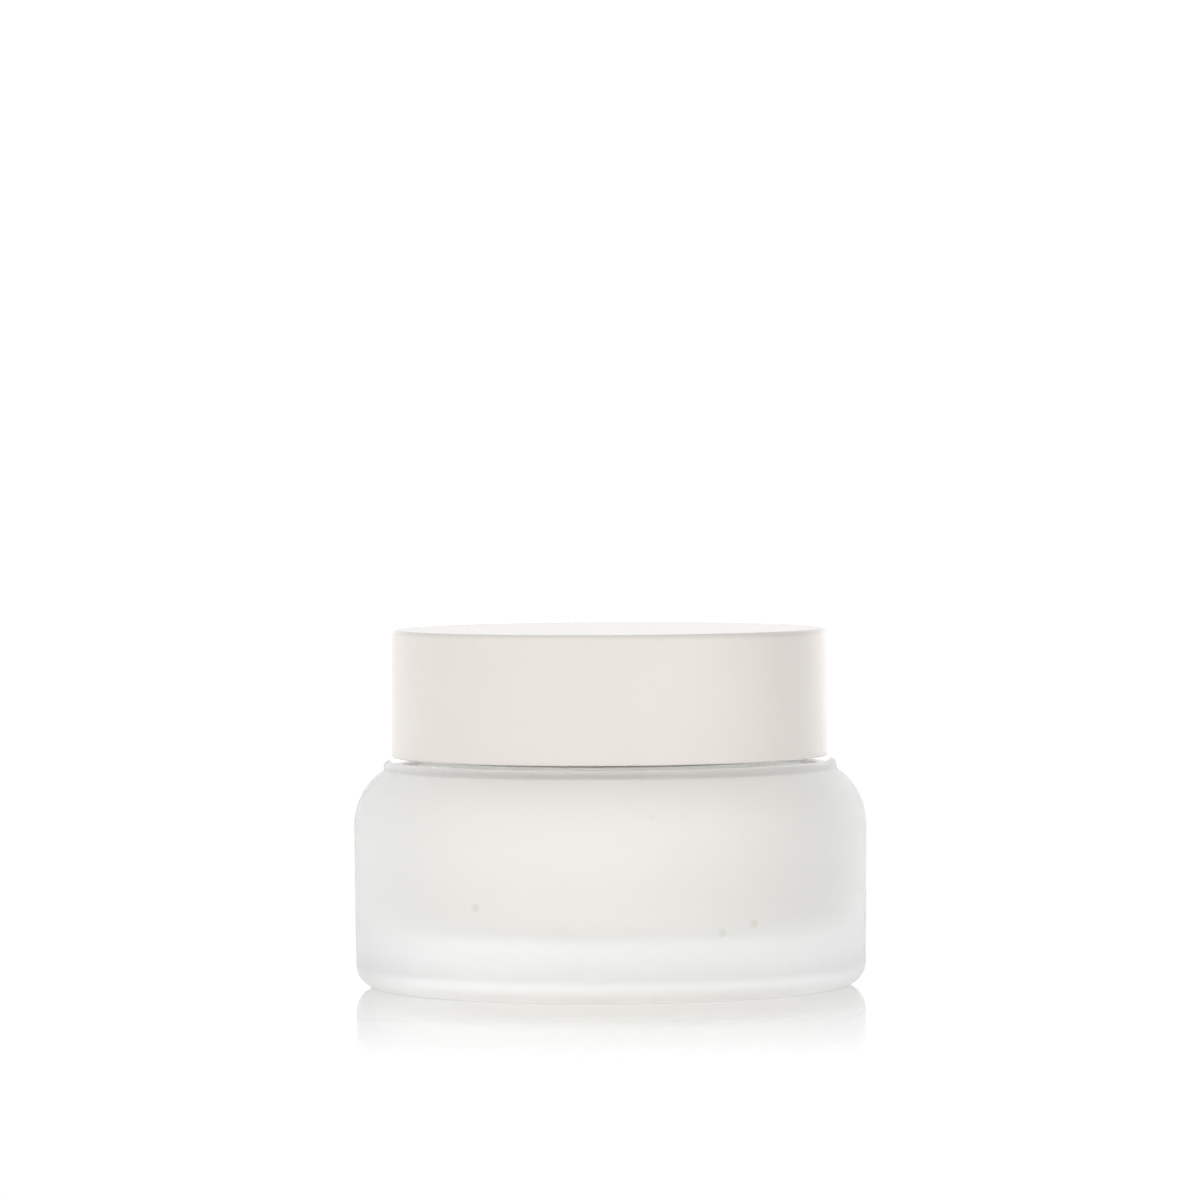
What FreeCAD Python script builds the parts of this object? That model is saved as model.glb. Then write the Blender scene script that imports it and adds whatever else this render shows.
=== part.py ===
import FreeCAD, Part
import math
import os

# A screw-capped frosted glass cream jar, in millimetres.
# It stands on z = 0 with its axis on +Z. Every piece is its own solid in its own STEP file.

# Glass body, outside
BODY_RADIUS = 33.0            # widest, at the foot of the shoulder
BODY_DRAFT = 0.2              # how much narrower the side is at the heel
HEEL_RADIUS = 3.1             # round between side and base
SHOULDER_HEIGHT = 20.7        # where the side ends and the shoulder begins
SHOULDER_RADIUS = 8.6         # round of the shoulder
SHOULDER_INSET = 3.9          # from the side in to the raised ring
SHOULDER_RUN = 0.3            # straight between the shoulder's round and the ring
LAND_HEIGHT = 1.2             # raised ring that the cap stands over, above the shoulder
LAND_ROUNDING = 0.5
LAND_FOOT_FILLET = 0.3
BEARING_WIDTH = 5.2           # flat ring that the jar stands on
PUSH_UP_SLOPE = 11.5          # width of the slope from the bearing ring up to the hollow's flat
PUSH_UP_DEPTH = 1.4
PUSH_UP_EDGE_ROUNDING = 1.0
PUSH_UP_ROUNDING = 50.0

# Glass neck and the pressed hollow
NECK_HEIGHT = 12.05           # from the ring's top to the rim
NECK_FOOT_FILLET = 0.6
RIM_OUTER_ROUNDING = 0.6
RIM_INNER_ROUNDING = 0.7
NECK_WALL = 1.9
CAVITY_TAPER = 0.8            # how much narrower the hollow is at its floor
GLASS_BASE = 7.4              # glass under the hollow
CAVITY_CORNER_RADIUS = 3.5

# Screw threads, right-handed, single start
THREAD_PITCH = 4.2
THREAD_DEPTH = 1.0
THREAD_ROOT_WIDTH = 2.0
THREAD_CREST_WIDTH = 0.9
THREAD_BELOW_RIM = 3.2        # from the rim to the upper end of the glass ridge
CAP_THREAD_DEPTH = 0.95
CAP_THREAD_ROOT_WIDTH = 1.7
CAP_THREAD_CREST_WIDTH = 0.7
CAP_THREAD_ABOVE_EDGE = 0.65  # from the insert's lower edge to its ridge
THREAD_CREST_CLEARANCE = 0.25
THREAD_FLANK_CLEARANCE = 0.2
THREAD_RUNOUT_TURNS = 0.12    # length of the fading ends
THREAD_SINK = 0.3             # how deep a ridge is rooted in its wall
THREAD_FADE_DEPTH = 0.1       # how deep its faded ends' crest lies in that wall
SECTIONS_PER_TURN = 36

# Cap: an outer shell and a threaded insert pressed into it
CAP_GAP = 0.5                 # between the glass ring and the cap's lower edge
CAP_LEDGE = 1.05              # how far the glass ring stands out past the cap
CAP_DRAFT = 0.1               # how much narrower the cap is at its top
CAP_EDGE_ROUNDING = 0.5
CAP_LOWER_ROUNDING = 0.25
SHELL_WALL = 1.1
SHELL_TOP = 1.65
SHELL_INNER_ROUNDING = 0.5
INSERT_WALL = 0.8
INSERT_TOP = 1.2
INSERT_RECESS = 0.5           # insert's lower edge above the shell's
INSERT_TOP_CLEARANCE = 0.05
RIB_HEIGHT = 0.3              # crush ribs that grip the shell
RIB_WIDTH = 1.0
RIB_COUNT = 24
RIB_START = 3.6               # ribs' foot above the insert's lower edge
RIB_CLEARANCE = 0.03
RIB_SLAB_MARGIN = 1.0         # extra length of the slab that cuts a rib from its ring
SNAP_RISE = 2.0               # middle of the snap bead above the insert's lower edge
SNAP_DEPTH = 0.35
SNAP_WIDTH = 1.2
SNAP_ROUNDING = 0.2
SNAP_CLEARANCE = 0.05

# Foam liner, and the sealing disc between it and the rim
LINER_THICKNESS = 1.0
LINER_CLEARANCE = 0.2         # round the liner, inside the insert
DISC_FLANGE = 0.9
DISC_EDGE_CLEARANCE = 0.2     # flange's edge inside the neck's outside
DISC_PLUG_CLEARANCE = 0.1     # plug wall inside the neck's bore
DISC_PLUG_WALL = 1.0
DISC_DISH_DEPTH = 1.9
DISC_WEB = 0.8
DISC_LIP = 0.65               # plug wall below the web
DISC_ROUNDING = 0.25
GRIP_LENGTH = 18.0
GRIP_WIDTH = 2.4
GRIP_CLEARANCE = 0.3          # grip's top below the flange's top

# Cream
CREAM_HEADSPACE = 10.76       # from the cream to the sealing disc's web
CREAM_FILM = 0.03             # gap between cream and glass
CREAM_TOP_ROUNDING = 0.6

# Radii that follow, from the side inwards
HEEL_SIDE_RADIUS = BODY_RADIUS - BODY_DRAFT
PUSH_UP_RADIUS = HEEL_SIDE_RADIUS - HEEL_RADIUS - BEARING_WIDTH
LAND_RADIUS = BODY_RADIUS - SHOULDER_INSET
CAP_RADIUS = LAND_RADIUS - CAP_LEDGE
SHELL_BORE = CAP_RADIUS - CAP_DRAFT - SHELL_WALL
INSERT_RADIUS = SHELL_BORE - RIB_HEIGHT
INSERT_BORE = INSERT_RADIUS - INSERT_WALL
CAP_THREAD_CREST = INSERT_BORE - CAP_THREAD_DEPTH
THREAD_CREST = INSERT_BORE - THREAD_CREST_CLEARANCE
NECK_RADIUS = THREAD_CREST - THREAD_DEPTH
BORE_RADIUS = NECK_RADIUS - NECK_WALL
CAVITY_FLOOR_RADIUS = BORE_RADIUS - CAVITY_TAPER

# Heights that follow, from the shoulder up
SHOULDER_REACH = math.hypot(SHOULDER_RADIUS, SHOULDER_RUN)
SHOULDER_TURN = (math.acos((SHOULDER_RADIUS - SHOULDER_INSET) / SHOULDER_REACH)
                 - math.atan(SHOULDER_RUN / SHOULDER_RADIUS))
SHOULDER_RISE = (SHOULDER_RADIUS * math.sin(SHOULDER_TURN)
                 + SHOULDER_RUN * math.cos(SHOULDER_TURN))
LAND_FOOT = SHOULDER_HEIGHT + SHOULDER_RISE
LAND_TOP = LAND_FOOT + LAND_HEIGHT
RIM = LAND_TOP + NECK_HEIGHT
DISC_TOP = RIM + DISC_FLANGE
LINER_TOP = DISC_TOP + LINER_THICKNESS
INSERT_TOP_FACE = LINER_TOP + INSERT_TOP
SHELL_CEILING = INSERT_TOP_FACE + INSERT_TOP_CLEARANCE
CAP_TOP_FACE = SHELL_CEILING + SHELL_TOP
CAP_FOOT = LAND_TOP + CAP_GAP
INSERT_FOOT = CAP_FOOT + INSERT_RECESS
SNAP_MIDDLE = INSERT_FOOT + SNAP_RISE
DISC_WEB_TOP = DISC_TOP - DISC_DISH_DEPTH
DISC_WEB_UNDERSIDE = DISC_WEB_TOP - DISC_WEB
DISC_FOOT = DISC_WEB_UNDERSIDE - DISC_LIP
CREAM_LEVEL = DISC_WEB_UNDERSIDE - CREAM_HEADSPACE

# Where the two ridges lie when the cap is tight: the cap's under the glass's
RIDGE_SPACING = (THREAD_FLANK_CLEARANCE
                 + (THREAD_ROOT_WIDTH + THREAD_CREST_WIDTH) / 4
                 + (CAP_THREAD_ROOT_WIDTH + CAP_THREAD_CREST_WIDTH) / 4)
CAP_THREAD_START = INSERT_FOOT + CAP_THREAD_ABOVE_EDGE + CAP_THREAD_ROOT_WIDTH / 2
THREAD_START = CAP_THREAD_START + RIDGE_SPACING
THREAD_TURNS = (RIM - THREAD_BELOW_RIM - THREAD_START) / THREAD_PITCH


def point(radius, height):
    return FreeCAD.Vector(radius, 0, height)


def rounded_outline(corners):
    """Closed wire in the XZ plane through corners (radius, height) or (radius, height, rounding).

    Two roundings that are too large for the straight between them shrink until they fit it.
    """
    count = len(corners)
    places = [point(c[0], c[1]) for c in corners]
    roundings = [c[2] if len(c) > 2 else 0 for c in corners]
    halves = []
    for i, here in enumerate(places):
        halves.append((places[i - 1] - here).getAngle(places[(i + 1) % count] - here) / 2)
    reaches = [rounding / math.tan(half) for rounding, half in zip(roundings, halves)]
    stretches = []
    for i, here in enumerate(places):
        if not roundings[i]:
            stretches.append((here, None, here))
            continue
        after = (i + 1) % count
        half = halves[i]
        back = places[i - 1] - here
        ahead = places[after] - here
        fit_back = back.Length / (reaches[i] + reaches[i - 1])
        fit_ahead = ahead.Length / (reaches[i] + reaches[after])
        reach = reaches[i] * min(1, fit_back, fit_ahead)
        radius = reach * math.tan(half)
        back.normalize()
        ahead.normalize()
        towards = back + ahead
        towards.normalize()
        middle = here + towards * (radius / math.sin(half) - radius)
        stretches.append((here + back * reach, middle, here + ahead * reach))
    edges = []
    for i, (start, middle, end) in enumerate(stretches):
        if middle is not None:
            edges.append(Part.Arc(start, middle, end).toShape())
        following = stretches[(i + 1) % count][0]
        if end.distanceToPoint(following) > 1e-6:
            edges.append(Part.LineSegment(end, following).toShape())
    return Part.Wire(edges)


def lathe(corners):
    """Solid of revolution about Z of a rounded outline."""
    face = Part.Face(rounded_outline(corners))
    return face.revolve(FreeCAD.Vector(0, 0, 0), FreeCAD.Vector(0, 0, 1), 360)


def smooth_step(share):
    share = max(0.0, min(1.0, share))
    return share * share * (3 - 2 * share)


def helical_ridge(wall, crest, root_width, crest_width, lowest):
    """Ridge that climbs anticlockwise round Z on a wall and fades into it at both ends."""
    sense = 1 if crest > wall else -1
    root = wall - sense * THREAD_SINK
    buried = wall - sense * THREAD_FADE_DEPTH
    slope = (root_width - crest_width) / 2 / abs(crest - wall)
    steps = round(THREAD_TURNS * SECTIONS_PER_TURN)
    sections = []
    for step in range(steps + 1):
        turned = THREAD_TURNS * step / steps
        end_distance = min(turned, THREAD_TURNS - turned)
        top = buried + (crest - buried) * smooth_step(end_distance / THREAD_RUNOUT_TURNS)
        middle = lowest + THREAD_PITCH * turned
        half_top = crest_width / 2
        half_root = half_top + slope * abs(top - root)
        corners = [
            point(root, middle - half_root),
            point(top, middle - half_top),
            point(top, middle + half_top),
            point(root, middle + half_root),
        ]
        wire = Part.makePolygon(corners + corners[:1])
        wire.rotate(FreeCAD.Vector(0, 0, 0), FreeCAD.Vector(0, 0, 1), 360 * turned)
        sections.append(wire)
    return Part.makeLoft(sections, True, False)


def glass_jar():
    shoulder_corner = SHOULDER_HEIGHT + SHOULDER_RADIUS * math.tan(SHOULDER_TURN / 2)
    body = lathe([
        (0, PUSH_UP_DEPTH),
        (PUSH_UP_RADIUS - PUSH_UP_SLOPE, PUSH_UP_DEPTH, PUSH_UP_ROUNDING),
        (PUSH_UP_RADIUS, 0, PUSH_UP_EDGE_ROUNDING),
        (HEEL_SIDE_RADIUS, 0, HEEL_RADIUS),
        (BODY_RADIUS, shoulder_corner, SHOULDER_RADIUS),
        (LAND_RADIUS, LAND_FOOT, LAND_FOOT_FILLET),
        (LAND_RADIUS, LAND_TOP, LAND_ROUNDING),
        (NECK_RADIUS, LAND_TOP, NECK_FOOT_FILLET),
        (NECK_RADIUS, RIM, RIM_OUTER_ROUNDING),
        (BORE_RADIUS, RIM, RIM_INNER_ROUNDING),
        (CAVITY_FLOOR_RADIUS, GLASS_BASE, CAVITY_CORNER_RADIUS),
        (0, GLASS_BASE),
    ])
    thread = helical_ridge(NECK_RADIUS, THREAD_CREST, THREAD_ROOT_WIDTH,
                           THREAD_CREST_WIDTH, THREAD_START)
    return body.fuse(thread)


def cavity_radius(height):
    """Radius of the tapered hollow at a height above its corner."""
    return CAVITY_FLOOR_RADIUS + CAVITY_TAPER * (height - GLASS_BASE) / (RIM - GLASS_BASE)


def cream():
    floor = GLASS_BASE + CREAM_FILM
    return lathe([
        (0, floor),
        (cavity_radius(floor) - CREAM_FILM, floor, CAVITY_CORNER_RADIUS - CREAM_FILM),
        (cavity_radius(CREAM_LEVEL) - CREAM_FILM, CREAM_LEVEL, CREAM_TOP_ROUNDING),
        (0, CREAM_LEVEL),
    ])


def sealing_disc():
    plug_radius = BORE_RADIUS - DISC_PLUG_CLEARANCE
    dish_radius = plug_radius - DISC_PLUG_WALL
    disc = lathe([
        (0, DISC_WEB_UNDERSIDE),
        (dish_radius, DISC_WEB_UNDERSIDE, DISC_ROUNDING),
        (dish_radius, DISC_FOOT, DISC_ROUNDING),
        (cavity_radius(DISC_FOOT) - DISC_PLUG_CLEARANCE, DISC_FOOT, DISC_ROUNDING),
        (plug_radius, RIM),
        (NECK_RADIUS - DISC_EDGE_CLEARANCE, RIM, DISC_ROUNDING),
        (NECK_RADIUS - DISC_EDGE_CLEARANCE, DISC_TOP, DISC_ROUNDING),
        (dish_radius, DISC_TOP, DISC_ROUNDING),
        (dish_radius, DISC_WEB_TOP, DISC_ROUNDING),
        (0, DISC_WEB_TOP),
    ])
    return disc.fuse(grip_bar())


def grip_bar():
    """Upright bar in the disc's dish, with round ends, for a fingertip to pull."""
    foot = DISC_WEB_TOP - DISC_WEB / 2
    height = DISC_TOP - GRIP_CLEARANCE - foot
    straight = GRIP_LENGTH - GRIP_WIDTH
    bar = Part.makeBox(straight, GRIP_WIDTH, height, FreeCAD.Vector(-straight / 2, -GRIP_WIDTH / 2, foot))
    for side in (-1, 1):
        end = FreeCAD.Vector(side * straight / 2, 0, foot)
        bar = bar.fuse(Part.makeCylinder(GRIP_WIDTH / 2, height, end))
    return bar.removeSplitter()


def cap_liner():
    radius = INSERT_BORE - LINER_CLEARANCE
    return Part.makeCylinder(radius, LINER_THICKNESS, FreeCAD.Vector(0, 0, DISC_TOP))


def cap_insert():
    snap_radius = SHELL_BORE + SNAP_DEPTH - SNAP_CLEARANCE
    insert = lathe([
        (INSERT_BORE, INSERT_FOOT, CAP_LOWER_ROUNDING),
        (INSERT_RADIUS, INSERT_FOOT, CAP_LOWER_ROUNDING),
        (INSERT_RADIUS, SNAP_MIDDLE - SNAP_WIDTH / 2),
        (snap_radius, SNAP_MIDDLE, SNAP_ROUNDING),
        (INSERT_RADIUS, SNAP_MIDDLE + SNAP_WIDTH / 2),
        (INSERT_RADIUS, INSERT_TOP_FACE, SHELL_INNER_ROUNDING + RIB_HEIGHT),
        (0, INSERT_TOP_FACE),
        (0, LINER_TOP),
        (INSERT_BORE, LINER_TOP),
    ])
    thread = helical_ridge(INSERT_BORE, CAP_THREAD_CREST, CAP_THREAD_ROOT_WIDTH,
                           CAP_THREAD_CREST_WIDTH, CAP_THREAD_START)
    ribs = [crush_rib(360 * number / RIB_COUNT) for number in range(RIB_COUNT)]
    return insert.fuse([thread] + ribs)


def crush_rib(turned):
    """Upright rib on the insert's outside that reaches the shell's bore."""
    crest = SHELL_BORE - RIB_CLEARANCE
    foot = INSERT_FOOT + RIB_START
    top = INSERT_TOP_FACE - SHELL_INNER_ROUNDING - RIB_HEIGHT
    ring = lathe([
        (INSERT_RADIUS - INSERT_WALL / 2, foot),
        (crest, foot, RIB_HEIGHT / 2),
        (crest, top, RIB_HEIGHT / 2),
        (INSERT_RADIUS - INSERT_WALL / 2, top),
    ])
    slab = Part.makeBox(SHELL_BORE + RIB_SLAB_MARGIN, RIB_WIDTH, top - foot + 2 * RIB_SLAB_MARGIN,
                        FreeCAD.Vector(0, -RIB_WIDTH / 2, foot - RIB_SLAB_MARGIN))
    rib = ring.common(slab)
    rib.rotate(FreeCAD.Vector(0, 0, 0), FreeCAD.Vector(0, 0, 1), turned)
    return rib


def cap_shell():
    groove = SHELL_BORE + SNAP_DEPTH
    return lathe([
        (SHELL_BORE, CAP_FOOT, CAP_LOWER_ROUNDING),
        (CAP_RADIUS, CAP_FOOT, CAP_LOWER_ROUNDING),
        (CAP_RADIUS - CAP_DRAFT, CAP_TOP_FACE, CAP_EDGE_ROUNDING),
        (0, CAP_TOP_FACE),
        (0, SHELL_CEILING),
        (SHELL_BORE, SHELL_CEILING, SHELL_INNER_ROUNDING),
        (SHELL_BORE, SNAP_MIDDLE + SNAP_WIDTH / 2 + SNAP_CLEARANCE),
        (groove, SNAP_MIDDLE, SNAP_ROUNDING),
        (SHELL_BORE, SNAP_MIDDLE - SNAP_WIDTH / 2 - SNAP_CLEARANCE),
    ])


PIECES = {
    "glass_jar": glass_jar,
    "cream": cream,
    "sealing_disc": sealing_disc,
    "cap_liner": cap_liner,
    "cap_insert": cap_insert,
    "cap_shell": cap_shell,
}

os.makedirs("parts", exist_ok=True)
for name, build in PIECES.items():
    shape = build()
    solids = shape.Solids
    whole = solids[0] if len(solids) == 1 else Part.makeCompound(solids)
    box = whole.BoundBox
    print(f"{name}: {len(solids)} solid, valid {whole.isValid()}, volume {whole.Volume:.1f} mm3, "
          f"z {box.ZMin:.2f} to {box.ZMax:.2f}, across {box.XLength:.2f}")
    whole.exportStep(f"parts/{name}.step")
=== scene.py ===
import math

import bpy
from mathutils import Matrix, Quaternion, Vector


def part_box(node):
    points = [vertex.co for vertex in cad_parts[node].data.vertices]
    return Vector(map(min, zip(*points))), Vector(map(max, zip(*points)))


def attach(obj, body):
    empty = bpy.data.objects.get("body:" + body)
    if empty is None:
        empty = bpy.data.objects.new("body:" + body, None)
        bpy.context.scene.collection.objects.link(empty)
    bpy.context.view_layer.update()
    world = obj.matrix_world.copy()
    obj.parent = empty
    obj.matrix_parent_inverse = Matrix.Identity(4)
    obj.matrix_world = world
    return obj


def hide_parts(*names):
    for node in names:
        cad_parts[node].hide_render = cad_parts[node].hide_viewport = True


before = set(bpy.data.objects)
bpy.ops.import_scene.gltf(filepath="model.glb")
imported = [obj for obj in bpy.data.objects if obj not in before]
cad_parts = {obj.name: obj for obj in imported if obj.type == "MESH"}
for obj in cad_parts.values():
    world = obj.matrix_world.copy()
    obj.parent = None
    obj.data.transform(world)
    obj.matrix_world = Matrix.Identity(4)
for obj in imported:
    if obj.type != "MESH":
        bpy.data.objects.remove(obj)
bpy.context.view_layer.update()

# Glass jar: one piece of soda-lime glass, pressed in a mould with a thick base.
# The outside was dipped in acid after pressing, which frosts it; the hollow stays fire-polished.
# A soft-edged screw ridge winds round the neck above the raised ring.
jar_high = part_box("glass_jar")[1]
insert_low, insert_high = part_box("cap_insert")
body_radius = jar_high.x
rim = jar_high.z
side_draft = 0.0002
heel_radius = body_radius - side_draft
heel_round = 0.0031
side_top = 0.0207
shoulder_round = 0.0086
shoulder_turn = math.radians(54.9)
ring_radius = body_radius - 0.00386
ring_top = insert_low.z - 0.0010
ring_foot = ring_top - 0.0012
ring_foot_round = 0.0003
ring_top_round = 0.0007
neck_radius = 0.0245
neck_foot_round = 0.0006
rim_outer_round = 0.0006
rim_inner_round = 0.0007
lip_depth = 0.0015
bore_radius = 0.0226
bore_floor_radius = 0.0218
hollow_floor = 0.0074
hollow_round = 0.0035
foot_width = 0.0052
foot_round = 0.0010
push_up_radius = heel_radius - heel_round - foot_width
push_up_depth = 0.0014
push_up_slope = 0.0115
push_up_round = 0.0500
ridge_crest = 0.0255
ridge_pitch = 0.0042
ridge_root = 0.0020
ridge_top = 0.0009
ridge_start = insert_low.z + 0.003025
ridge_end = rim - 0.0032
ridge_turns = (ridge_end - ridge_start) / ridge_pitch
ridge_fade = 0.12
ridge_row = 0.00012
facets = 288
around = [math.tau * k / facets for k in range(facets)]


def outline(corners, fine=0.00012, longest=0.0030):
    """Points (radius, height) of a lathed wall from its corners (radius, height[, rounding]).

    Rows stand fine beside each corner, and no further than longest apart between corners.
    """
    stops = []
    for i, corner in enumerate(corners):
        here = Vector(corner[:2])
        if len(corner) == 2:
            stops.append([here])
            continue
        back = (Vector(corners[i - 1][:2]) - here).normalized()
        ahead = (Vector(corners[i + 1][:2]) - here).normalized()
        half = back.angle(ahead) / 2
        middle = here + (back + ahead).normalized() * corner[2] / math.sin(half)
        spoke = here + back * corner[2] / math.tan(half) - middle
        turn = math.pi - 2 * half
        if back.x * ahead.y - back.y * ahead.x > 0:
            turn = -turn
        steps = max(4, round(abs(turn) / math.radians(6)))
        arc = []
        for step in range(steps + 1):
            swung = turn * step / steps
            c, s = math.cos(swung), math.sin(swung)
            arc.append(middle + Vector((c * spoke.x - s * spoke.y, s * spoke.x + c * spoke.y)))
        stops.append(arc)
    points = []
    for arc, following in zip(stops, stops[1:] + [None]):
        points += arc
        if following is None:
            break
        start, end = arc[-1], following[0]
        length = (end - start).length
        if length < 4 * fine:
            continue
        inner = length - 2 * fine
        rows = math.ceil(inner / longest)
        for row in range(rows + 1):
            points.append(start.lerp(end, (fine + inner * row / rows) / length))
    return points


def lathe(name, points, swell=None, sink=None, angles=around, extra=((), ())):
    """Piece turned from an outline that starts and ends on the axis.

    swell adds to a point's radius and sink to its height. extra is one more closed mesh in the piece.
    """
    count = len(angles)
    verts = []
    faces = []
    rings = []
    for r, z in points:
        if r < 1e-7:
            rings.append([len(verts)])
            verts.append((0, 0, z))
            continue
        ring = []
        for angle in angles:
            wide = r + (swell(r, z, angle) if swell else 0)
            high = z + (sink(r, z, angle) if sink else 0)
            ring.append(len(verts))
            verts.append((wide * math.cos(angle), wide * math.sin(angle), high))
        rings.append(ring)
    for lower, upper in zip(rings, rings[1:]):
        for k in range(count):
            after = (k + 1) % count
            if len(lower) == 1:
                faces.append((lower[0], upper[after], upper[k]))
            elif len(upper) == 1:
                faces.append((lower[k], lower[after], upper[0]))
            else:
                faces.append((lower[k], lower[after], upper[after], upper[k]))
    faces += [tuple(len(verts) + corner for corner in face) for face in extra[1]]
    verts += extra[0]
    mesh = bpy.data.meshes.new(name)
    mesh.from_pydata(verts, [], faces)
    mesh.validate()
    mesh.shade_smooth()
    piece = bpy.data.objects.new(name, mesh)
    bpy.context.scene.collection.objects.link(piece)
    return piece


def eased(share):
    """A share held between 0 and 1, with a soft start and end."""
    share = max(0.0, min(1.0, share))
    return share * share * (3 - 2 * share)


def ridge_height(z, angle, start, root, top):
    """How far a screw ridge stands out at this height and angle, from 0 to 1."""
    tallest = 0.0
    for lap in range(math.ceil(ridge_turns) + 1):
        turned = angle % math.tau / math.tau + lap
        if turned > ridge_turns:
            break
        off = abs(z - start - ridge_pitch * turned)
        flank = eased((root / 2 - off) / ((root - top) / 2))
        end = eased(min(turned, ridge_turns - turned) / ridge_fade)
        tallest = max(tallest, flank * end)
    return tallest


def glass_ridge(r, z, angle):
    """Screw ridge outwards from the neck's wall."""
    if abs(r - neck_radius) > 1e-6:
        return 0
    return (ridge_crest - neck_radius) * ridge_height(z, angle, ridge_start, ridge_root, ridge_top)


bore_slope = (bore_radius - bore_floor_radius) / (rim - hollow_floor)
shoulder_corner = side_top + shoulder_round * math.tan(shoulder_turn / 2)
below_lip = (bore_radius - lip_depth * bore_slope, rim - lip_depth)
outside = outline([
    (0, push_up_depth),
    (push_up_radius - push_up_slope, push_up_depth, push_up_round),
    (push_up_radius, 0, foot_round),
    (heel_radius, 0, heel_round),
    (body_radius, shoulder_corner, shoulder_round),
    (ring_radius, ring_foot, ring_foot_round),
    (ring_radius, ring_top, ring_top_round),
    (neck_radius, ring_top, neck_foot_round),
    (neck_radius, ridge_start - ridge_root),
])
neck = outline([
    (neck_radius, ridge_start - ridge_root),
    (neck_radius, rim, rim_outer_round),
    (bore_radius, rim, rim_inner_round),
    below_lip,
], longest=ridge_row)
hollow = outline([
    below_lip,
    (bore_floor_radius, hollow_floor, hollow_round),
    (0, hollow_floor),
])
glass_jar = lathe("glass_jar_body", outside[:-1] + neck[:-1] + hollow, swell=glass_ridge)
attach(glass_jar, "jar")
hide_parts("glass_jar")


class Wire:
    """A socket in a material's node tree. Arithmetic on it adds Math nodes."""

    def __init__(self, tree, socket=None):
        self.tree = tree
        self.socket = socket

    def node(self, kind, sockets, out=0, **settings):
        """Adds one node, sets it up, fills or links its sockets and gives its output, if it has one."""
        made = self.tree.nodes.new("ShaderNode" + kind)
        for key, value in settings.items():
            setattr(made, key, value)
        for key, value in sockets.items():
            if isinstance(value, Wire):
                self.tree.links.new(value.socket, made.inputs[key])
            else:
                made.inputs[key].default_value = value
        if made.outputs:
            return Wire(self.tree, made.outputs[out])

    def math(self, operation, first, second):
        return self.node("Math", {0: first, 1: second}, operation=operation)

    def __add__(self, other):
        return self.math("ADD", self, other)

    __radd__ = __add__

    def __sub__(self, other):
        return self.math("SUBTRACT", self, other)

    def __rsub__(self, other):
        return self.math("SUBTRACT", other, self)

    def __mul__(self, other):
        return self.math("MULTIPLY", self, other)

    __rmul__ = __mul__

    def noise(self, size, detail=2.0):
        """Noise over the piece, about 0 to 1, with features of this size in metres."""
        return self.node("TexNoise", {"Vector": self, "Scale": 1 / size, "Detail": detail}, "Fac")

    def between(self, low, high, first, second):
        """Eased from first to second as this value goes from low to high."""
        sockets = {"Value": self, "From Min": low, "From Max": high, "To Min": first, "To Max": second}
        return self.node("MapRange", sockets, interpolation_type="SMOOTHSTEP")

    def blend(self, first, second):
        """Colour that goes from first to second as this value goes from 0 to 1."""
        sockets = {"Factor": self, 6: first, 7: second}
        return self.node("Mix", sockets, 2, data_type="RGBA")

    def bump(self, depth):
        """Normal of a surface whose height is this value times depth, in metres."""
        return self.node("Bump", {"Height": self, "Distance": depth, "Strength": 1.0})

    def part(self, axis):
        return self.node("SeparateXYZ", {"Vector": self}, axis)


def new_material(name):
    """Gives a material, the wire of places on the piece, and a function that lays on its finish."""
    material = bpy.data.materials.new(name)
    material.use_nodes = True
    material.node_tree.nodes.clear()
    start = Wire(material.node_tree)
    place = start.node("TexCoord", {}, "Object")

    def finish(sockets):
        start.node("OutputMaterial", {"Surface": start.node("BsdfPrincipled", sockets)})

    return material, place, finish


# Seeds are specks of unmelted batch in the wall: degrees turned from the front to the right, height.
seed_places = [(25, 0.0088), (33, 0.0098), (-31, 0.0120), (9, 0.0236),
               (118, 0.0155), (172, 0.0072), (214, 0.0178), (262, 0.0104)]
seed_radius = 0.0008
seed_colour = (0.760, 0.785, 0.725, 1)
frost_dull = (0.944, 0.950, 0.957, 1)
frost_bright = (0.984, 0.990, 0.997, 1)
glass_bend = 1.5
etch_depth = 0.00001
frosted, place, finish = new_material("frosted_glass")
etch = place.noise(0.00016, 3.0)
grit = place.noise(0.00045)
clouding = place.noise(0.0040)
off_seed = None
for turned, height in seed_places:
    turned = math.radians(turned)
    spot = (body_radius * math.sin(turned), -body_radius * math.cos(turned), height)
    off = place.node("VectorMath", {0: place, 1: spot}, "Value", operation="DISTANCE")
    off_seed = off if off_seed is None else off.math("MINIMUM", off, off_seed)
seed = off_seed.between(seed_radius / 3, seed_radius, 1.0, 0.0)
frost = (0.5 * clouding + 0.5 * grit).blend(frost_dull, frost_bright)
finish({
    "Base Color": seed.blend(frost, seed_colour),
    "Roughness": 0.49 + 0.06 * clouding,
    "Transmission Weight": 1.0,
    "IOR": glass_bend,
    "Normal": etch.bump(etch_depth),
})
glass_jar.data.materials.append(frosted)

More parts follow.
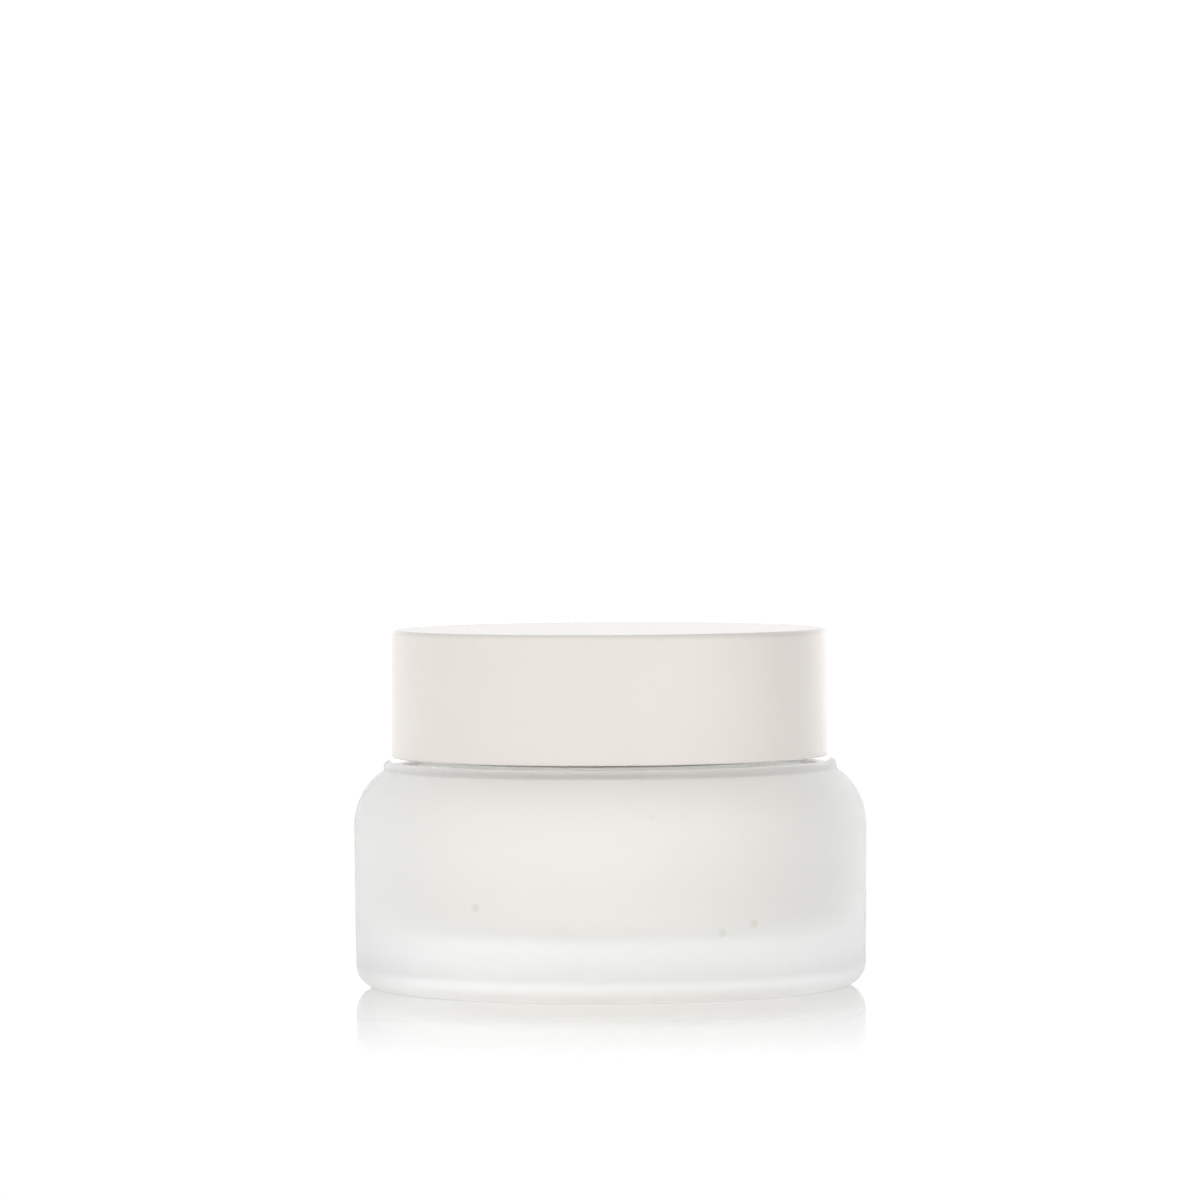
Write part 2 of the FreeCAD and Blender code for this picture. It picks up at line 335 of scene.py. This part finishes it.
# The hollow, the neck and the part of the ring that the cap covers are polished.
polished_colour = (0.985, 0.990, 0.985, 1)
ripple_depth = 0.00002
covered_radius = ring_radius - 0.0013
covered_height = ring_top - 0.0001
inside_radius = bore_radius + rim_inner_round
inside_height = hollow_floor - 0.0001
polished, place, finish = new_material("polished_glass")
ripple = place.noise(0.0060)
finish({
    "Base Color": polished_colour,
    "Roughness": 0.04 + 0.04 * ripple,
    "Transmission Weight": 1.0,
    "IOR": glass_bend,
    "Normal": ripple.bump(ripple_depth),
})
glass_jar.data.materials.append(polished)
for face in glass_jar.data.polygons:
    high = face.center.z
    out = math.hypot(face.center.x, face.center.y)
    covered = out < covered_radius and high > covered_height
    inside = out < inside_radius and high > inside_height
    if covered or inside:
        face.material_index = 1

# Cream: thick white emulsion, filled hot through a nozzle, so it wets the glass all round
# and its top keeps the soft spiral that the nozzle left.
cream_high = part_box("cream")[1]
cream_level = cream_high.z
cream_top_radius = bore_floor_radius + bore_slope * (cream_level - hollow_floor)
cream_edge_round = 0.0004
wetting = 0.00008
swirl_depth = 0.0007
swirl_pitch = 0.0048
swirl_reach = 0.0012
swirl_margin = 0.0010
swirl_fade = 0.0030
swirl_row = 0.00045


def swirl(r, z, angle):
    """Spiral furrow in the cream's top, gone at the edge and at the heart."""
    if z < cream_level - swirl_reach:
        return 0
    wave = math.cos(math.tau * r / swirl_pitch - angle)
    edge = eased((cream_high.x - swirl_margin - r) / swirl_fade)
    heart = eased(r / swirl_fade)
    return swirl_depth * edge * (heart * (wave - 1) / 2)


cream_side = outline([
    (0, hollow_floor - wetting),
    (bore_floor_radius + wetting, hollow_floor - wetting, hollow_round),
    (cream_top_radius + wetting, cream_level, cream_edge_round),
    (cream_top_radius - swirl_margin, cream_level),
])
cream_top = outline([
    (cream_top_radius - swirl_margin, cream_level),
    (0, cream_level),
], longest=swirl_row)
cream = lathe("cream_fill", cream_side[:-1] + cream_top, sink=swirl)
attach(cream, "jar")
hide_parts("cream")
cream_dull = (0.968, 0.950, 0.900, 1)
cream_bright = (0.978, 0.961, 0.916, 1)
cream_cloud = 0.0100
lump_depth = 0.00003
creamy, place, finish = new_material("cream")
lumps = place.noise(0.0009, 3.0)
finish({
    "Base Color": place.noise(cream_cloud).blend(cream_dull, cream_bright),
    "Roughness": 0.30 + 0.12 * lumps,
    "Normal": lumps.bump(lump_depth),
})
cream.data.materials.append(creamy)

# Where the cream wets the glass there is no air between them, so it has no gloss of its own.
wet_top = cream_level - 0.0009
wet, place, finish = new_material("cream_on_glass")
finish({
    "Base Color": place.noise(cream_cloud).blend(cream_dull, cream_bright),
    "Roughness": 0.9,
    "Specular IOR Level": 0.0,
})
cream.data.materials.append(wet)
for face in cream.data.polygons:
    if face.center.z < wet_top:
        face.material_index = 1

# Sealing disc: thin lid of milky polyethylene, moulded in one shot, that plugs the mouth.
# Its flange lies on the rim. A bar stands in its dish for a fingertip to pull it out by.
disc_low, disc_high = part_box("sealing_disc")
flange_radius = disc_high.x
plug_radius = bore_radius - 0.0001
plug_foot_radius = plug_radius - 0.00005
plug_wall = 0.0010
dish_radius = plug_radius - plug_wall
web_top = disc_high.z - 0.0019
web_underside = web_top - 0.0008
disc_round = 0.00025
gate_radius = 0.0008
gate_height = 0.00025
gate_round = 0.0001
bar_length = 0.0180
bar_width = 0.0024
bar_top = disc_high.z - 0.0003
bar_root = web_top - 0.0002
bar_round = 0.0004
bar_foot_flare = 0.0003
bar_round_steps = 4


def stadium(length, width, height, steps=16):
    """Points round a bar with round ends, anticlockwise, at one height."""
    points = []
    for side in (1, -1):
        for step in range(steps + 1):
            angle = math.pi * (step / steps - 0.5) + (math.pi if side < 0 else 0)
            x = side * (length - width) / 2 + width / 2 * math.cos(angle)
            points.append((x, width / 2 * math.sin(angle), height))
    return points


def grip_bar():
    """Closed bar with a rounded top edge and a flared foot sunk a little into the web."""
    levels = [(2 * bar_foot_flare, bar_root), (2 * bar_foot_flare, web_top)]
    for step in range(1, bar_round_steps + 1):
        lean = math.pi / 2 * step / bar_round_steps
        grown = 2 * bar_foot_flare * (1 - math.sin(lean))
        levels.append((grown, web_top + bar_foot_flare * (1 - math.cos(lean))))
    for step in range(bar_round_steps + 1):
        lean = math.pi / 2 * step / bar_round_steps
        grown = 2 * bar_round * (math.cos(lean) - 1)
        levels.append((grown, bar_top - bar_round * (1 - math.sin(lean))))
    verts = []
    faces = []
    for grown, height in levels:
        verts += stadium(bar_length + grown, bar_width + grown, height)
    count = len(verts) // len(levels)
    for level in range(len(levels) - 1):
        for k in range(count):
            corner = level * count + k
            after = level * count + (k + 1) % count
            faces.append((corner, after, after + count, corner + count))
    faces.append(tuple(reversed(range(count))))
    faces.append(tuple(range(len(verts) - count, len(verts))))
    return verts, faces


sealing_disc = lathe("sealing_disc_lid", outline([
    (0, web_underside - gate_height),
    (gate_radius, web_underside - gate_height, gate_round),
    (gate_radius, web_underside, gate_round),
    (dish_radius, web_underside, disc_round),
    (dish_radius, disc_low.z, disc_round),
    (plug_foot_radius, disc_low.z, disc_round),
    (plug_radius, rim),
    (flange_radius, rim, disc_round),
    (flange_radius, disc_high.z, disc_round),
    (dish_radius, disc_high.z, disc_round),
    (dish_radius, web_top, disc_round),
    (0, web_top),
]), extra=grip_bar())
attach(sealing_disc, "sealing_disc")
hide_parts("sealing_disc")
milky_dull = (0.860, 0.868, 0.862, 1)
milky_bright = (0.895, 0.900, 0.890, 1)
skin_depth = 0.000012
milky, place, finish = new_material("milky_polyethylene")
haze = place.noise(0.0060)
skin = place.noise(0.00035, 3.0)
finish({
    "Base Color": haze.blend(milky_dull, milky_bright),
    "Roughness": 0.34 + 0.14 * skin,
    "Subsurface Weight": 0.25,
    "Subsurface Radius": (0.0012, 0.0012, 0.0011),
    "Subsurface Scale": 1.0,
    "Normal": skin.bump(skin_depth),
})
sealing_disc.data.materials.append(milky)

# Cap insert: threaded inner cap of ivory polypropylene that the shell is pressed over; its colour is
# painted darker and warmer than the plastic, as painted shade in the gap under the cap.
# Upright crush ribs centre it, and the bead near its foot snaps into the shell's groove.
insert_radius = 0.02655
insert_bore = 0.02575
insert_ceiling = disc_high.z + 0.0010
insert_ceiling_round = 0.0002
insert_foot_round = 0.00025
insert_top_round = 0.0008
insert_ridge_crest = 0.0248
insert_ridge_root = 0.0017
insert_ridge_top = 0.0007
insert_ridge_start = ridge_start - 0.001525
smooth_top = insert_ceiling - 0.0010
snap_middle = insert_low.z + 0.0020
snap_radius = 0.02715
snap_half = 0.0006
snap_round = 0.0002
rib_count = 24
rib_width = 0.0010
rib_flank = 0.0002
rib_end = 0.0003
rib_crest = 0.02682
rib_foot = insert_low.z + 0.0036
rib_top = insert_high.z - 0.0010


def insert_relief(r, z, angle):
    """Screw ridge inwards from the bore, crush ribs outwards from the outside wall."""
    if abs(r - insert_bore) < 1e-6:
        height = ridge_height(z, angle, insert_ridge_start, insert_ridge_root, insert_ridge_top)
        return (insert_ridge_crest - insert_bore) * height
    if abs(r - insert_radius) < 1e-6:
        spacing = math.tau / rib_count
        off = abs((angle + spacing / 2) % spacing - spacing / 2) * r
        flank = eased((rib_width / 2 + rib_flank / 2 - off) / rib_flank)
        ends = eased((z - rib_foot) / rib_end) * eased((rib_top - z) / rib_end)
        return (rib_crest - insert_radius) * flank * ends
    return 0


insert_inside = outline([
    (0, insert_ceiling),
    (insert_bore, insert_ceiling, insert_ceiling_round),
    (insert_bore, smooth_top),
])
insert_threads = outline([
    (insert_bore, smooth_top),
    (insert_bore, insert_low.z, insert_foot_round),
    (insert_radius, insert_low.z, insert_foot_round),
    (insert_radius, snap_middle - snap_half),
], longest=ridge_row)
insert_outside = outline([
    (insert_radius, snap_middle - snap_half),
    (snap_radius, snap_middle, snap_round),
    (insert_radius, snap_middle + snap_half),
    (insert_radius, rib_foot),
    (insert_radius, rib_foot + rib_end),
    (insert_radius, rib_top - rib_end),
    (insert_radius, rib_top),
    (insert_radius, insert_high.z, insert_top_round),
    (0, insert_high.z),
])
beside_rib = [-1.30, -0.86, 0, 0.86, 1.30, 2.5, 4.0, 5.5, 7.5, 9.5, 11.0, 12.5]
insert_angles = [math.tau * rib / rib_count + math.radians(off)
                 for rib in range(rib_count) for off in beside_rib]
cap_insert = lathe("cap_insert_thread", insert_inside[:-1] + insert_threads[:-1] + insert_outside,
                   swell=insert_relief, angles=insert_angles)
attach(cap_insert, "cap")
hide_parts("cap_insert")
# Painted shade: the insert's ivory is darker and warmer than the plastic, so the gap under the cap shows
# as shade.
insert_dull_painted_shade = (0.680, 0.635, 0.545, 1)
insert_bright_painted_shade = (0.710, 0.665, 0.575, 1)
spark_depth = 0.000010
flow_stretch = (1.0, 1.0, 0.25)
ivory_plastic_painted_shade, place, finish = new_material("ivory_insert_painted_shade")
sparks = place.noise(0.00030, 3.0)
flow = place.node("Mapping", {"Vector": place, "Scale": flow_stretch}).noise(0.0050)
finish({
    "Base Color": flow.blend(insert_dull_painted_shade, insert_bright_painted_shade),
    "Roughness": 0.30 + 0.12 * sparks,
    "Normal": sparks.bump(spark_depth),
})
cap_insert.data.materials.append(ivory_plastic_painted_shade)

# Liner: wad of white closed-cell foam, die-cut and pushed up against the insert's ceiling.
# The disc's flange has pressed a shallow ring into its underside.
liner_low, liner_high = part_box("cap_liner")
liner_round = 0.00012
liner_row = 0.00020
dent_depth = 0.00010
dent_middle = (dish_radius + flange_radius) / 2
dent_half = (flange_radius - dish_radius) / 2 + 0.0002
dent_flank = 0.0004


def pressed_ring(r, z, angle):
    """Dent in the underside where the flange has pressed."""
    if z > liner_low.z + dent_depth + 1e-6:
        return 0
    return dent_depth * eased((dent_half - abs(r - dent_middle)) / dent_flank)


cap_liner = lathe("cap_foam_liner", outline([
    (0, liner_low.z),
    (liner_high.x, liner_low.z, liner_round),
    (liner_high.x, liner_high.z, liner_round),
    (0, liner_high.z),
], longest=liner_row), sink=pressed_ring)
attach(cap_liner, "liner")
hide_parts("cap_liner")
cell_size = 0.00035
cell_depth = 0.00006
cell_edge = 0.12
foam_cell = (0.870, 0.870, 0.860, 1)
foam_wall = (0.800, 0.800, 0.788, 1)
foam, place, finish = new_material("foam_liner")
cells = place.node("TexVoronoi", {"Vector": place, "Scale": 1 / cell_size}, "Distance",
                   feature="DISTANCE_TO_EDGE")
cell_wall = cells.between(0.0, cell_edge, 1.0, 0.0)
finish({
    "Base Color": cell_wall.blend(foam_cell, foam_wall),
    "Roughness": 0.62 + 0.15 * cell_wall,
    "Normal": cells.bump(cell_depth),
})
cap_liner.data.materials.append(foam)

# Cap shell: ivory polypropylene overcap, moulded with a fine satin texture and a small round on
# its edges. It is pressed over the insert until its groove snaps on the insert's bead.
cap_low, cap_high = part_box("cap_shell")
cap_radius = cap_high.x
cap_draft = 0.0001
cap_ceiling = cap_high.z - 0.00165
cap_ceiling_round = 0.0005
cap_foot_round = 0.00025
cap_top_round = 0.0008
shell_bore = 0.02685
groove_radius = shell_bore + 0.00035
groove_half = 0.00065
groove_round = 0.0002
cap_shell = lathe("cap_outer_shell", outline([
    (0, cap_ceiling),
    (shell_bore, cap_ceiling, cap_ceiling_round),
    (shell_bore, snap_middle + groove_half),
    (groove_radius, snap_middle, groove_round),
    (shell_bore, snap_middle - groove_half),
    (shell_bore, cap_low.z, cap_foot_round),
    (cap_radius, cap_low.z, cap_foot_round),
    (cap_radius - cap_draft, cap_high.z, cap_top_round),
    (0, cap_high.z),
]))
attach(cap_shell, "cap")
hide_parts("cap_shell")
shell_dull = (0.735, 0.695, 0.650, 1)
shell_bright = (0.785, 0.743, 0.697, 1)
grain_depth = 0.000012
ivory, place, finish = new_material("ivory_shell")
grain = place.noise(0.00022, 3.0)
tone = 0.5 * place.noise(0.0080) + 0.5 * grain
finish({
    "Base Color": tone.blend(shell_dull, shell_bright),
    "Roughness": 0.15 + 0.06 * grain,
    "Normal": grain.bump(grain_depth),
})
cap_shell.data.materials.append(ivory)

# Table: a glossy white acrylic sheet lit from below, brightest round the middle and on the left.
# It mirrors the foot of the jar at a low angle and holds the jar's shadow where it stands.
table_radius = 0.60
table_sides = 96
table_colour = (0.86, 0.86, 0.86, 1)
table_white = 0.38
table_glow = 0.58
glow_full = 0.06
glow_gone = 0.12
glow_turn = 0.06
glow_on_right = 0.75
sheen_full = 0.040
sheen_gone = 0.120
sheen_strength = 1.28
sheen_haze = 0.10
table_angles = [math.tau * k / table_sides for k in range(table_sides)]
table_edge = [(table_radius * math.cos(angle), table_radius * math.sin(angle), 0)
              for angle in table_angles]
table_mesh = bpy.data.meshes.new("table")
table_mesh.from_pydata(table_edge, [], [tuple(range(table_sides))])
table = bpy.data.objects.new("table", table_mesh)
bpy.context.scene.collection.objects.link(table)
white_table = bpy.data.materials.new("white_table")
white_table.use_nodes = True
white_table.node_tree.nodes.clear()
start = Wire(white_table.node_tree)
place = start.node("TexCoord", {}, "Object")
away = place.node("VectorMath", {0: place}, "Value", operation="LENGTH")
camera_ray = start.node("LightPath", {}, "Is Camera Ray")
glossy_ray = start.node("LightPath", {}, "Is Glossy Ray")
through_ray = start.node("LightPath", {}, "Is Transmission Ray")
seen = camera_ray.math("MAXIMUM", camera_ray, glossy_ray.math("MAXIMUM", glossy_ray, through_ray))
mirror = start.node("Fresnel", {"IOR": 1.8})
sheen = sheen_strength * mirror * away.between(sheen_full, sheen_gone, 1.0, 0.0)
glow = away.between(glow_full, glow_gone, table_glow, 0.0)
glow = glow * place.part("X").between(0.0, glow_turn, 1.0, glow_on_right)
glow = glow * (1 - camera_ray)
glow = glow.math("MAXIMUM", glow, table_white * seen)
sheet = start.node("BsdfDiffuse", {"Color": table_colour})
lamp = start.node("Emission", {"Color": glow, "Strength": 1.0})
lit = start.node("AddShader", {0: sheet, 1: lamp})
gloss = start.node("BsdfGlossy", {"Color": (1, 1, 1, 1), "Roughness": sheen_haze})
start.node("OutputMaterial", {"Surface": start.node("MixShader", {"Fac": sheen, 1: lit, 2: gloss})})
table.data.materials.append(white_table)

# Light: a white tent, dimmer overhead, with two soft lamps in front and two behind.
# A grey card on the right darkens that side of the glass.
world = bpy.data.worlds.new("tent")
world.use_nodes = True
world.node_tree.nodes.clear()
start = Wire(world.node_tree)
direction = start.node("TexCoord", {}, "Generated")
overhead = 0.45


def towards(turned, raised, strength, tightness=5.0):
    """Soft lobe of light round a direction: degrees turned from the front to the right, degrees raised."""
    turned = math.radians(turned)
    raised = math.radians(raised)
    flat = math.cos(raised)
    middle = (math.sin(turned) * flat, -math.cos(turned) * flat, math.sin(raised))
    facing = direction.node("VectorMath", {0: direction, 1: middle}, "Value", operation="DOT_PRODUCT")
    facing = facing.math("MAXIMUM", facing, 0.0)
    return strength * facing.math("POWER", facing, tightness)


level = direction.part("Z").between(0.0, 0.7, 1.0, overhead)
level = level + towards(-45, 32, 0.90) + towards(42, 8, 1.10)
level = level + towards(135, 6, 0.85) + towards(-135, 6, 0.30)
level = level - towards(113, 17, 1.20, 8.0)
sky = start.node("Background", {"Color": level, "Strength": 1.0})
start.node("OutputWorld", {"Surface": sky})
bpy.context.scene.world = world

# Light crosses many rough glass faces before it comes out again, so it needs more bounces.
bounces = bpy.context.scene.cycles
bounces.max_bounces = 24
bounces.diffuse_bounces = 8
bounces.glossy_bounces = 16
bounces.transmission_bounces = 16

# Camera: a long lens a little above the cap.
camera_distance = 0.954
camera_height = 0.076
frame_width = 0.1541
sensor_width = 36
aim = Vector((-0.00116, 0, 0.0496))
roll = math.radians(-0.33)
lens_data = bpy.data.cameras.new("camera")
lens_data.sensor_width = sensor_width
lens_data.lens = sensor_width * camera_distance / frame_width
camera = bpy.data.objects.new("camera", lens_data)
bpy.context.scene.collection.objects.link(camera)
camera.location = (aim.x, -camera_distance, camera_height)
camera.rotation_mode = "QUATERNION"
look = (aim - camera.location).to_track_quat("-Z", "Y")
camera.rotation_quaternion = look @ Quaternion((0, 0, 1), roll)
bpy.context.scene.camera = camera
bpy.context.scene.view_settings.view_transform = "Standard"
